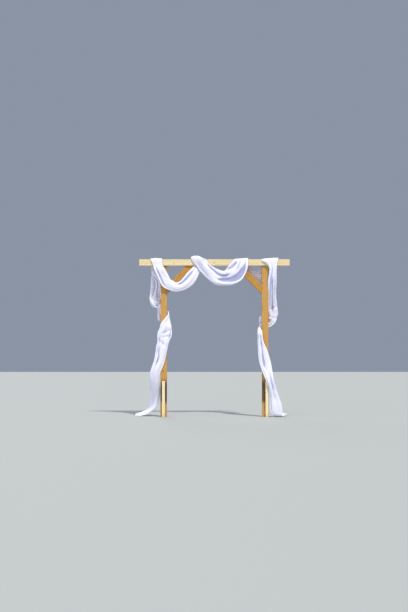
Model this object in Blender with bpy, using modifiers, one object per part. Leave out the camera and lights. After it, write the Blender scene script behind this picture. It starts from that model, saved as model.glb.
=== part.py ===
"""Wooden wedding arch: a beam laid across two posts, two knee braces, two ground stakes
and one long length of white cloth wound along the beam and down both posts.

Metres, +Z up. The origin is the middle of the left post's foot, on the ground. +X runs
along the arch to the right post and +Y runs through it, away from the guests.
"""
import math

import bpy
import bmesh
from mathutils import Vector

# Timber
SEAT_GAP = 0.0003
POST_SECTION = 0.089
POST_LENGTH = 2.134
POST_SPACING = 1.435
BEAM_HEIGHT = 0.089
BEAM_DEPTH = 0.089
BEAM_OVERHANG = 0.305
BEAM_FORWARD = 0.018
BRACE_SECTION = 0.089
BRACE_INNER_LEG = 0.272
STAKE_SECTION = 0.038
STAKE_HEIGHT = 0.500
LEFT_STAKE_INSET = 0.025
RIGHT_STAKE_INSET = 0.007
EDGE_ROUND = 0.003

# Cloth, gathered along its length
CLOTH_WIDTH = 0.150
CLOTH_THICK = 0.040
WRAP_WIDTH = 0.140
WRAP_THICK = 0.028
PANEL_WIDTH = 0.134
POUF_WIDTH = 0.148
POUF_THICK = 0.085
NECK_THICK = 0.052
HEM_THICK = 0.016
LEFT_POUF_HEIGHT = 1.650
RIGHT_POUF_HEIGHT = 1.480
LEFT_TURN_HEIGHT = 1.355
RIGHT_TURN_HEIGHT = 1.105
LEFT_CROSSING_HEIGHT = 0.890
RIGHT_CROSSING_HEIGHT = 0.793
PANEL_RISE = 0.180
POUF_RISE = 0.090
LEFT_TAIL_REACH = 0.365
LEFT_TAIL_BACK = 0.160
RIGHT_TAIL_REACH = 0.215
RIGHT_TAIL_BACK = 0.120
FIRST_SWAG_DEPTH = 0.318
SECOND_SWAG_DEPTH = 0.196
BACK_SWAG_DEPTH = 0.125
SWAG_FULLNESS = 2.6
FIRST_WRAP_OUT = 0.044
SECOND_CROSSING_IN = 0.275
LAST_WRAP_OUT = 0.077

# Where the posts and the beam stand
HALF_POST = POST_SECTION / 2
LEFT_X = 0.0
RIGHT_X = LEFT_X + POST_SPACING
LEFT_OUTER = LEFT_X - HALF_POST
LEFT_INNER = LEFT_X + HALF_POST
RIGHT_INNER = RIGHT_X - HALF_POST
RIGHT_OUTER = RIGHT_X + HALF_POST
BEAM_BOTTOM = POST_LENGTH + SEAT_GAP
BEAM_TOP = BEAM_BOTTOM + BEAM_HEIGHT
BEAM_FRONT = -HALF_POST - BEAM_FORWARD
BEAM_BACK = BEAM_FRONT + BEAM_DEPTH

RIGHT = Vector((1, 0, 0))
BACK = Vector((0, 1, 0))
UP = Vector((0, 0, 1))


def material(name, colour, roughness):
    made = bpy.data.materials.new(name)
    made.use_nodes = True
    shader = made.node_tree.nodes["Principled BSDF"]
    shader.inputs["Base Color"].default_value = (*colour, 1)
    shader.inputs["Roughness"].default_value = roughness
    shader.inputs["Metallic"].default_value = 0
    return made


def add_object(name, mesh, finish):
    made = bpy.data.objects.new(name, mesh)
    made.data.materials.append(finish)
    collection.objects.link(made)
    return made


def timber(name, low, high, finish):
    """A straight length of sawn timber, from its lowest to its highest corner."""
    size = [high[i] - low[i] for i in range(3)]
    cage = bmesh.new()
    bmesh.ops.create_cube(cage, size=1)
    bmesh.ops.scale(cage, vec=size, verts=cage.verts)
    mesh = bpy.data.meshes.new(name)
    cage.to_mesh(mesh)
    cage.free()
    made = add_object(name, mesh, finish)
    made.location = [(low[i] + high[i]) / 2 for i in range(3)]
    round_edges(made)
    return made


def round_edges(made):
    edge = made.modifiers.new("eased edges", "BEVEL")
    edge.width = EDGE_ROUND
    edge.segments = 2


def make_post(name, middle, finish):
    low = (middle - HALF_POST, -HALF_POST, 0)
    high = (middle + HALF_POST, HALF_POST, POST_LENGTH)
    return timber(name, low, high, finish)


def make_beam(finish):
    low = (LEFT_OUTER - BEAM_OVERHANG, BEAM_FRONT, BEAM_BOTTOM)
    high = (RIGHT_OUTER + BEAM_OVERHANG, BEAM_BACK, BEAM_TOP)
    return timber("top_beam", low, high, finish)


def make_brace(name, post_face, inward, finish):
    """A knee brace at 45 degrees, cut upright at the post and level under the beam."""
    across = BRACE_SECTION * math.sqrt(2)
    long_leg = BRACE_INNER_LEG + across
    face = post_face + inward * SEAT_GAP
    top = POST_LENGTH
    outline = [
        (face, top - BRACE_INNER_LEG),
        (face, top - long_leg),
        (face + inward * long_leg, top),
        (face + inward * BRACE_INNER_LEG, top),
    ]
    curve = bpy.data.curves.new(name + "_outline", "CURVE")
    curve.dimensions = "2D"
    curve.fill_mode = "BOTH"
    curve.extrude = BRACE_SECTION / 2
    spline = curve.splines.new("POLY")
    spline.points.add(len(outline) - 1)
    for point, (x, z) in zip(spline.points, outline):
        point.co = (x, z, 0, 1)
    spline.use_cyclic_u = True
    flat = bpy.data.objects.new(name + "_outline", curve)
    collection.objects.link(flat)
    bpy.context.view_layer.update()
    graph = bpy.context.evaluated_depsgraph_get()
    mesh = bpy.data.meshes.new_from_object(flat.evaluated_get(graph))
    bpy.data.objects.remove(flat)
    welded = bmesh.new()
    welded.from_mesh(mesh)
    bmesh.ops.remove_doubles(welded, verts=welded.verts, dist=0.00001)
    bmesh.ops.recalc_face_normals(welded, faces=welded.faces)
    welded.to_mesh(mesh)
    welded.free()
    mesh.materials.clear()
    made = add_object(name, mesh, finish)
    made.rotation_euler = (math.radians(90), 0, 0)
    round_edges(made)
    return made


def make_stake(name, outer_face, inward, inset, finish):
    """A square stake screwed to the front of a post's foot, set in from its outer face."""
    outer = outer_face + inward * inset
    inner = outer + inward * STAKE_SECTION
    front = -HALF_POST - SEAT_GAP - STAKE_SECTION
    low = (min(outer, inner), front, 0)
    high = (max(outer, inner), front + STAKE_SECTION, STAKE_HEIGHT)
    return timber(name, low, high, finish)


# Stations of the cloth: middle, direction across, direction outwards, width, thickness
def station(middle, across, outward, width, thick):
    across = Vector(across).normalized()
    outward = Vector(outward)
    outward = (outward - across * outward.dot(across)).normalized()
    return Vector(middle), across, outward, width, thick


def flip(place):
    """The same cross-section turned half round, for a cloth that shows its other side."""
    middle, across, outward, width, thick = place
    return middle, -across, -outward, width, thick


def in_front(x, z, heading, width, thick, stand_off=0.0):
    """Cloth before the posts. The heading is in degrees from straight up towards +X."""
    turn = math.radians(heading)
    y = -HALF_POST - SEAT_GAP - thick / 2 - stand_off
    return station((x, y, z), (math.cos(turn), 0, -math.sin(turn)), -BACK, width, thick)


def behind(x, z, heading, width, thick):
    """Cloth behind the posts, with the heading as in_front takes it."""
    turn = math.radians(heading)
    y = HALF_POST + SEAT_GAP + thick / 2
    return station((x, y, z), (-math.cos(turn), 0, math.sin(turn)), BACK, width, thick)


def beam_corner(x, y_side, z_side, width, thick, across):
    """Cloth where it turns over one long edge of the beam."""
    y = BEAM_FRONT if y_side < 0 else BEAM_BACK
    z = BEAM_BOTTOM if z_side < 0 else BEAM_TOP
    off = SEAT_GAP + thick / 2
    middle = (x, y + y_side * off, z + z_side * off)
    return station(middle, across, (0, y_side, z_side), width, thick * math.sqrt(2))


def beam_face(x, width, thick, across):
    """Cloth flat against the foot of the beam's front face."""
    middle = (x, BEAM_FRONT - SEAT_GAP - thick / 2, BEAM_BOTTOM)
    return station(middle, across, -BACK, width, thick)


def post_corner(middle_x, x_side, y_side, z, height, thick):
    """Cloth where it turns round one upright edge of a post."""
    off = HALF_POST + SEAT_GAP + thick / 2
    middle = (middle_x + x_side * off, y_side * off, z)
    return station(middle, -UP, (x_side, y_side, 0), height, thick * math.sqrt(2))


def swag(place, start_x, end_x, depth, widths, thick, stand, shares):
    """Stations along a hanging loop, at the given shares of its span. Its line is fuller
    than a parabola, and its width runs through the given widths from end to end."""
    made = []
    for share in shares:
        side = 2 * share - 1
        z = BEAM_BOTTOM - depth * (1 - abs(side) ** SWAG_FULLNESS)
        rise = 2 * SWAG_FULLNESS * depth * math.copysign(abs(side) ** (SWAG_FULLNESS - 1), side)
        heading = math.degrees(math.atan2(end_x - start_x, rise))
        at = share * (len(widths) - 1)
        knot = min(int(at), len(widths) - 2)
        width = widths[knot] + (widths[knot + 1] - widths[knot]) * (at - knot)
        x = start_x + (end_x - start_x) * share
        made.append(place(x, z, heading, width, thick, *stand))
    return made


def ring(place):
    """The eight corners of a flattened cross-section."""
    middle, across, outward, width, thick = place
    half_w, half_t = width / 2, thick / 2
    flat_w = half_w - thick * 0.3
    flat_t = half_t * 0.4
    corners = [
        (-flat_w, -half_t),
        (flat_w, -half_t),
        (half_w, -flat_t),
        (half_w, flat_t),
        (flat_w, half_t),
        (-flat_w, half_t),
        (-half_w, flat_t),
        (-half_w, -flat_t),
    ]
    return [middle + across * a + outward * b for a, b in corners]


def drawn_in(places):
    """The stations with both ends half a gap short, so that two stretches meet face to face."""
    short = list(places)
    for end, beside in ((0, 1), (-1, -2)):
        middle, across, outward, width, thick = places[end]
        along = across.cross(outward)
        if along.dot(places[beside][0] - middle) < 0:
            along = -along
        short[end] = (middle + along * SEAT_GAP / 2, across, outward, width, thick)
    return short


def cloth(name, places):
    """One stretch of the gathered cloth, lofted through its cross-sections. It gives back
    its last station, where the next stretch starts."""
    skin = bmesh.new()
    rings = [[skin.verts.new(p) for p in ring(place)] for place in drawn_in(places)]
    for near, far in zip(rings, rings[1:]):
        count = len(near)
        for i in range(count):
            j = (i + 1) % count
            skin.faces.new((near[i], near[j], far[j], far[i]))
    skin.faces.new(rings[0])
    skin.faces.new(rings[-1])
    bmesh.ops.triangulate(skin, faces=skin.faces)
    bmesh.ops.recalc_face_normals(skin, faces=skin.faces)
    mesh = bpy.data.meshes.new(name)
    skin.to_mesh(mesh)
    skin.free()
    add_object(name, mesh, material(name + " cloth", (0.88, 0.87, 0.92), 0.80))
    return places[-1]


def left_tail():
    """From the loose end on the ground up to the front of the left post."""
    out = LEFT_OUTER
    thick = CLOTH_THICK
    end = cloth("left_cloth_hem", [
        station((out - LEFT_TAIL_REACH, LEFT_TAIL_BACK, HEM_THICK / 2), -BACK, UP, 0.090, HEM_THICK),
        station((out - 0.270, LEFT_TAIL_BACK, 0.022), -BACK, UP, 0.150, 0.036),
        station((out - 0.180, LEFT_TAIL_BACK - 0.020, 0.055), (0.3, -1, -0.1), (-0.3, 0, 1), 0.170, thick),
    ])
    end = cloth("left_cloth_sweep", [
        end,
        station((out - 0.120, 0.090, 0.150), (0.8, -0.7, -0.3), (-0.5, -0.6, 0.5), 0.165, thick),
        station((out - 0.090, 0.030, 0.330), (1, -0.1, -0.1), -BACK, CLOTH_WIDTH, thick),
    ])
    end = cloth("left_cloth_lower_hang", [end, in_front(out - 0.080, 0.620, 12, 0.145, thick)])
    return cloth("left_cloth_post_crossing", [
        end,
        in_front(LEFT_X - 0.062, LEFT_CROSSING_HEIGHT - 0.110, 16, CLOTH_WIDTH, thick),
        in_front(LEFT_X - 0.036, LEFT_CROSSING_HEIGHT, 8, CLOTH_WIDTH, thick),
    ])


def left_post_wrap(end):
    """Across the front of the left post, round its inner side and behind it."""
    thick = WRAP_THICK
    end = cloth("left_cloth_post_front", [
        end,
        in_front(LEFT_X - 0.006, LEFT_TURN_HEIGHT - 0.305, 12, 0.185, CLOTH_THICK),
        in_front(LEFT_X + 0.020, LEFT_TURN_HEIGHT - 0.195, 16, 0.200, CLOTH_THICK),
        in_front(LEFT_X + 0.036, LEFT_TURN_HEIGHT - 0.110, 35, 0.175, CLOTH_THICK),
        post_corner(LEFT_X, 1, -1, LEFT_TURN_HEIGHT, 0.190, thick),
    ])
    side = post_corner(LEFT_X, 1, 1, LEFT_TURN_HEIGHT + 0.050, 0.170, thick)
    end = cloth("left_cloth_post_side", [end, side])
    return cloth("left_cloth_post_back", [
        end,
        behind(LEFT_X + 0.010, LEFT_TURN_HEIGHT + 0.090, -75, CLOTH_WIDTH, thick),
        behind(LEFT_OUTER - 0.035, LEFT_TURN_HEIGHT + 0.140, -55, CLOTH_WIDTH, CLOTH_THICK),
    ])


def left_hang(end):
    """The pouf beside the left post, the panel above it and the wrap over the beam."""
    out = LEFT_OUTER
    x = out - FIRST_WRAP_OUT
    end = cloth("left_cloth_pouf", [
        end,
        behind(out - 0.070, LEFT_POUF_HEIGHT - 0.070, -18, CLOTH_WIDTH, 0.070),
        behind(out - 0.077, LEFT_POUF_HEIGHT, 0, POUF_WIDTH, POUF_THICK),
        behind(out - 0.072, LEFT_POUF_HEIGHT + POUF_RISE, 0, WRAP_WIDTH, NECK_THICK),
    ])
    end = cloth("left_cloth_panel", [
        end,
        behind(out - 0.058, LEFT_POUF_HEIGHT + POUF_RISE + PANEL_RISE, 4, PANEL_WIDTH, CLOTH_THICK),
        behind(x, BEAM_BOTTOM + 0.004, 0, WRAP_WIDTH, WRAP_THICK),
    ])
    return cloth("left_cloth_beam_wrap", [
        end,
        beam_corner(x, 1, 1, CLOTH_WIDTH, WRAP_THICK, -RIGHT),
        beam_corner(x, -1, 1, CLOTH_WIDTH, WRAP_THICK, -RIGHT),
        beam_face(x, WRAP_WIDTH, WRAP_THICK, -RIGHT),
    ])


def hang_swag(name, start, start_x, end_x, depth, widths):
    """A swag before the beam in three stretches: down, along and up."""
    shape = (in_front, start_x, end_x, depth, widths, CLOTH_THICK, (BEAM_FORWARD,))
    end = cloth(name + "_drop", [start, *swag(*shape, (0.10, 0.20, 0.30))])
    end = cloth(name + "_bottom", [end, *swag(*shape, (0.43, 0.57, 0.70))])
    return cloth(name + "_rise", [end, *swag(*shape, (0.80, 0.90))])


def first_swag(end):
    """Before the left post and its brace, then under the beam beside the brace, up its
    back and over to its front."""
    start_x = LEFT_OUTER - FIRST_WRAP_OUT
    width = 0.090
    thick = 0.034
    brace_toe = LEFT_INNER + SEAT_GAP + BRACE_INNER_LEG + BRACE_SECTION * math.sqrt(2)
    x = brace_toe + SEAT_GAP + width / 2 + 0.004
    widths = (0.140, 0.158, 0.120, 0.142, 0.080)
    end = hang_swag("first_swag", end, start_x, x - 0.020, FIRST_SWAG_DEPTH, widths)
    below = station((x, 0, BEAM_BOTTOM - SEAT_GAP - thick / 2), RIGHT, UP, width, thick)
    end = cloth("middle_cloth_before_brace", [end, below])
    end = cloth("middle_cloth_under_beam", [end, flip(beam_corner(x, 1, -1, width, thick, -RIGHT))])
    end = cloth("middle_cloth_beam_back", [end, flip(beam_corner(x, 1, 1, 0.130, thick, -RIGHT))])
    return cloth("middle_cloth_beam_top", [end, flip(beam_corner(x + 0.015, -1, 1, 0.155, thick, -RIGHT))])


def second_swag(end):
    """The wide swag across the middle of the arch, up over the beam before the right brace."""
    end_x = RIGHT_INNER - SECOND_CROSSING_IN
    start_x = end[0].x + 0.045
    widths = (0.150, 0.180, 0.190, 0.205, 0.205)
    end = hang_swag("second_swag", flip(end), start_x, end_x, SECOND_SWAG_DEPTH, widths)
    end = cloth("second_swag_beam_front", [
        end,
        beam_face(end_x + 0.005, 0.200, WRAP_THICK, RIGHT),
        beam_corner(end_x + 0.010, -1, 1, 0.190, WRAP_THICK, RIGHT),
    ])
    return cloth("right_cloth_beam_top", [end, beam_corner(end_x + 0.020, 1, 1, 0.170, WRAP_THICK, RIGHT)])


def back_swag(end):
    """Down behind the beam, past the right brace and post in a shallow loop, and up again."""
    start_x = RIGHT_INNER - SECOND_CROSSING_IN + 0.030
    end_x = RIGHT_OUTER + LAST_WRAP_OUT
    thick = WRAP_THICK
    widths = (0.150, 0.130, 0.130, 0.130, 0.140)
    shape = (behind, start_x, end_x, BACK_SWAG_DEPTH, widths, thick, ())
    level = BEAM_BOTTOM + 0.004
    end = cloth("right_cloth_beam_back", [end, behind(start_x, level, 180, 0.150, thick)])
    end = cloth("right_cloth_back_drop", [end, *swag(*shape, (0.14, 0.30, 0.50))])
    return cloth("right_cloth_back_rise", [
        end,
        *swag(*shape, (0.70, 0.86)),
        behind(end_x, level, 0, WRAP_WIDTH, thick),
    ])


def right_hang(end):
    """Over the beam, down beside the right post and into the pouf that is tucked behind it."""
    out = RIGHT_OUTER
    x = out + LAST_WRAP_OUT
    neck = RIGHT_POUF_HEIGHT + PANEL_RISE
    end = cloth("right_cloth_beam_rise", [end, beam_corner(x, 1, 1, WRAP_WIDTH, WRAP_THICK, -RIGHT)])
    end = cloth("right_cloth_beam_over", [end, beam_corner(x, -1, 1, WRAP_WIDTH, WRAP_THICK, -RIGHT)])
    end = cloth("right_cloth_panel", [
        end,
        beam_face(x, WRAP_WIDTH, WRAP_THICK, -RIGHT),
        station((x, -0.060, (neck + BEAM_BOTTOM) / 2), -RIGHT, -BACK, PANEL_WIDTH, CLOTH_THICK),
        station((x, -0.020, neck), -RIGHT, -BACK, PANEL_WIDTH, NECK_THICK),
    ])
    end = cloth("right_cloth_pouf", [
        end,
        station((x, 0.010, RIGHT_POUF_HEIGHT), -RIGHT, -BACK, POUF_WIDTH, POUF_THICK),
        flip(behind(x - 0.005, RIGHT_POUF_HEIGHT - 0.110, 208, PANEL_WIDTH, 0.070)),
    ])
    tuck = behind(out - 0.030, RIGHT_POUF_HEIGHT - 0.180, 250, CLOTH_WIDTH, WRAP_THICK)
    return cloth("right_cloth_tuck", [end, flip(tuck)])


def right_post_wrap(end):
    """Behind the right post and round its inner side to the front."""
    inner = RIGHT_INNER
    end = cloth("right_cloth_post_back", [
        end,
        flip(behind(inner + 0.020, RIGHT_TURN_HEIGHT + 0.180, 262, CLOTH_WIDTH, WRAP_THICK)),
        flip(behind(inner - 0.046, RIGHT_TURN_HEIGHT + 0.140, 217, 0.096, 0.048)),
    ])
    front = -HALF_POST - 0.038
    return cloth("right_cloth_post_side", [
        end,
        station((inner - 0.038, -0.010, RIGHT_TURN_HEIGHT + 0.055), -RIGHT, -BACK, 0.062, 0.060),
        station((inner - 0.034, front, RIGHT_TURN_HEIGHT), -RIGHT, -BACK, 0.058, 0.050),
    ])


def right_tail(end):
    """Down across the front of the right post and its stake to the hem on the ground."""
    out = RIGHT_OUTER
    thick = CLOTH_THICK
    end = cloth("right_cloth_post_front", [
        end,
        in_front(RIGHT_X - 0.054, RIGHT_TURN_HEIGHT - 0.075, 170, 0.105, thick),
        in_front(RIGHT_X - 0.024, RIGHT_CROSSING_HEIGHT + 0.098, 168, CLOTH_WIDTH, thick),
        in_front(RIGHT_X - 0.005, RIGHT_CROSSING_HEIGHT, 166, 0.158, thick),
        in_front(RIGHT_X + 0.033, RIGHT_CROSSING_HEIGHT - 0.155, 160, 0.160, thick, 0.012),
    ])
    end = cloth("right_cloth_stake_crossing", [
        end,
        in_front(RIGHT_X + 0.070, STAKE_HEIGHT + 0.020, 158, 0.132, thick, STAKE_SECTION + 0.004),
        in_front(out + 0.062, 0.391, 165, 0.120, thick, STAKE_SECTION),
    ])
    end = cloth("right_cloth_fall", [
        end,
        station((out + 0.088, -0.085, 0.261), -RIGHT, -BACK, 0.145, thick),
        station((out + 0.106, -0.070, 0.148), -RIGHT, -BACK, 0.165, thick),
        station((out + 0.112, -0.060, 0.050), -RIGHT, -BACK, CLOTH_WIDTH, thick),
    ])
    corner = (out + RIGHT_TAIL_REACH, RIGHT_TAIL_BACK, HEM_THICK / 2)
    cloth("right_cloth_hem", [
        end,
        station((out + 0.130, -0.010, 0.022), (-1, 0.2, 0), (0, -0.5, -1), WRAP_WIDTH, 0.034),
        station(corner, (-0.8, 0.6, 0), -UP, 0.075, HEM_THICK),
    ])


def make_cloth():
    """The whole cloth, from the loose end at the left to the hem at the right."""
    end = left_tail()
    end = left_post_wrap(end)
    end = left_hang(end)
    end = first_swag(end)
    end = second_swag(end)
    end = back_swag(end)
    end = right_hang(end)
    end = right_post_wrap(end)
    right_tail(end)


for old in list(bpy.data.objects):
    bpy.data.objects.remove(old)
collection = bpy.data.collections.new("wooden wedding arch")
bpy.context.scene.collection.children.link(collection)

make_beam(material("beam pine", (0.80, 0.66, 0.40), 0.62))
make_post("left_post", LEFT_X, material("left post cedar", (0.60, 0.34, 0.13), 0.62))
make_post("right_post", RIGHT_X, material("right post cedar", (0.60, 0.34, 0.13), 0.62))
make_brace("left_brace", LEFT_INNER, 1, material("left brace cedar", (0.56, 0.28, 0.07), 0.62))
make_brace("right_brace", RIGHT_INNER, -1, material("right brace cedar", (0.56, 0.28, 0.07), 0.62))
for name, face, inward, inset in (
    ("left_stake", LEFT_OUTER, 1, LEFT_STAKE_INSET),
    ("right_stake", RIGHT_OUTER, -1, RIGHT_STAKE_INSET),
):
    make_stake(name, face, inward, inset, material(name + " pine", (0.88, 0.78, 0.52), 0.65))
make_cloth()
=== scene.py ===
import math

import bpy
import numpy as np
from mathutils import Euler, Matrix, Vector

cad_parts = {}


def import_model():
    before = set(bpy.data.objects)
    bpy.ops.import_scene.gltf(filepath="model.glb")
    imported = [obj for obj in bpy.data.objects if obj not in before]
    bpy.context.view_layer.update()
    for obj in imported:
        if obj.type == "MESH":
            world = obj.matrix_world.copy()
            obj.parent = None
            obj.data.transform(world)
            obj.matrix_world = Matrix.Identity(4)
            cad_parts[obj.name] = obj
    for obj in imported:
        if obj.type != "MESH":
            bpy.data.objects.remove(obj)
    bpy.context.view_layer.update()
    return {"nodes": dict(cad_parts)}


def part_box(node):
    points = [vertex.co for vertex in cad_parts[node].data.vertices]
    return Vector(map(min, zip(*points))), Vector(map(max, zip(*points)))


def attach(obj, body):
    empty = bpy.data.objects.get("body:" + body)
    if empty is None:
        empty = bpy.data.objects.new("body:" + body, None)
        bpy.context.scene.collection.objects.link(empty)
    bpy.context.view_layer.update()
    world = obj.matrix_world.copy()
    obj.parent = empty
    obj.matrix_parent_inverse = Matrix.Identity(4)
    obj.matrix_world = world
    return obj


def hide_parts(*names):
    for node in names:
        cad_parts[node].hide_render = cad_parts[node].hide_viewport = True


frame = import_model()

nodes = frame["nodes"]
bpy.ops.object.select_all(action="DESELECT")

# The viewpoint.
# A 50 mm lens at sitting height, 12 m before the beam and a little left of the arch's
# middle, is tipped up by three degrees.
lens_length = 50
film_width = 36
beam_low, beam_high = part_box("top_beam")
eye_height = 0.883
eye_distance = 12.0
eye_left_of_middle = 0.148
tip_up = 3.231
arch_middle = (beam_low.x + beam_high.x) / 2
eye = (arch_middle - eye_left_of_middle, beam_low.y - eye_distance, eye_height)
bpy.ops.object.camera_add(location=eye, rotation=(math.radians(90 + tip_up), 0, 0))
camera = bpy.context.object
camera.name = "front camera"
camera.data.lens = lens_length
camera.data.sensor_width = film_width
camera.data.clip_end = 200
bpy.context.scene.camera = camera

# The light.
# One warm lamp stands far off, high at the front right. A wide bluish one at the front left
# and a bluish grey surround make the shaded cloth lavender, and a weak one lights the back.
def far_lamp(name, height, bearing, softness, strength, colour):
    """A lamp so far off that its light is even. Its height over the floor, its bearing from the
    front to the right, and its softness are in degrees."""
    tilt = (math.radians(90 - height), 0, math.radians(bearing))
    bpy.ops.object.light_add(type="SUN", rotation=tilt)
    lamp = bpy.context.object
    lamp.name = name
    lamp.data.angle = math.radians(softness)
    lamp.data.energy = strength
    lamp.data.color = colour


far_lamp("key lamp", height=56, bearing=34, softness=5, strength=3.15, colour=(1.0, 0.965, 0.90))
far_lamp("sky lamp", height=26, bearing=-42, softness=80, strength=1.75, colour=(0.74, 0.82, 1.0))
far_lamp("rear lamp", height=40, bearing=205, softness=30, strength=0.7, colour=(0.90, 0.94, 1.0))
surround_colour = (0.28, 0.325, 0.41, 1)
surround_strength = 0.92
surround = bpy.data.worlds.new("studio surround")
surround.use_nodes = True
surround.node_tree.nodes["Background"].inputs["Color"].default_value = surround_colour
surround.node_tree.nodes["Background"].inputs["Strength"].default_value = surround_strength
bpy.context.scene.world = surround
bpy.context.scene.view_settings.view_transform = "Standard"

# The floor.
# One wide pale matt sheet under the whole arch.
floor_side = 60
bpy.ops.mesh.primitive_plane_add(size=floor_side, location=(arch_middle, 0, 0))
floor = bpy.context.object
floor.name = "studio_floor"
floor_paint = bpy.data.materials.new("pale floor")
floor_paint.use_nodes = True
floor_shader = floor_paint.node_tree.nodes["Principled BSDF"]
floor_shader.inputs["Base Color"].default_value = (0.40, 0.41, 0.39, 1)
floor_shader.inputs["Roughness"].default_value = 0.85
floor.data.materials.append(floor_paint)

# The posts.
# Two dressed 4x4 uprights of honey cedar stand on the ground. Each is sawn from near the
# heart of its log, with live knots. A band above each foot is darkened with painted shade,
# where the stake and the cloth shade the post.


def add_step(tree, kind, sockets, out=0, **settings):
    """One shader node. Sockets take a value or another node's output."""
    made = tree.nodes.new("ShaderNode" + kind)
    for name, value in settings.items():
        setattr(made, name, value)
    for key, value in sockets.items():
        if isinstance(value, bpy.types.NodeSocket):
            tree.links.new(value, made.inputs[key])
        else:
            made.inputs[key].default_value = value
    return made.outputs[out]


def sums(tree, operation, a, b=0.0, c=0.0):
    """One step of arithmetic on shader values."""
    return add_step(tree, "Math", {0: a, 1: b, 2: c}, operation=operation)


def spread(tree, value, low, high, to_low=0.0, to_high=1.0):
    """A value eased from one range into another."""
    sockets = {"Value": value, "From Min": low, "From Max": high, "To Min": to_low, "To Max": to_high}
    return add_step(tree, "MapRange", sockets, interpolation_type="SMOOTHSTEP")


def tint(tree, share, under, over):
    """Lays one colour over another by a share from 0 to 1."""
    return add_step(tree, "Mix", {"Factor": share, 6: under, 7: over}, out=2, data_type="RGBA")


def cloudy(tree, place, scale, detail, rough=0.55, stretch=(1, 1, 1)):
    """Noise from 0 to 1, drawn out or squeezed along each axis."""
    drawn = add_step(tree, "VectorMath", {0: place, 1: stretch}, operation="MULTIPLY")
    sockets = {"Vector": drawn, "Scale": scale, "Detail": detail, "Roughness": rough}
    return add_step(tree, "TexNoise", sockets)


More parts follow.
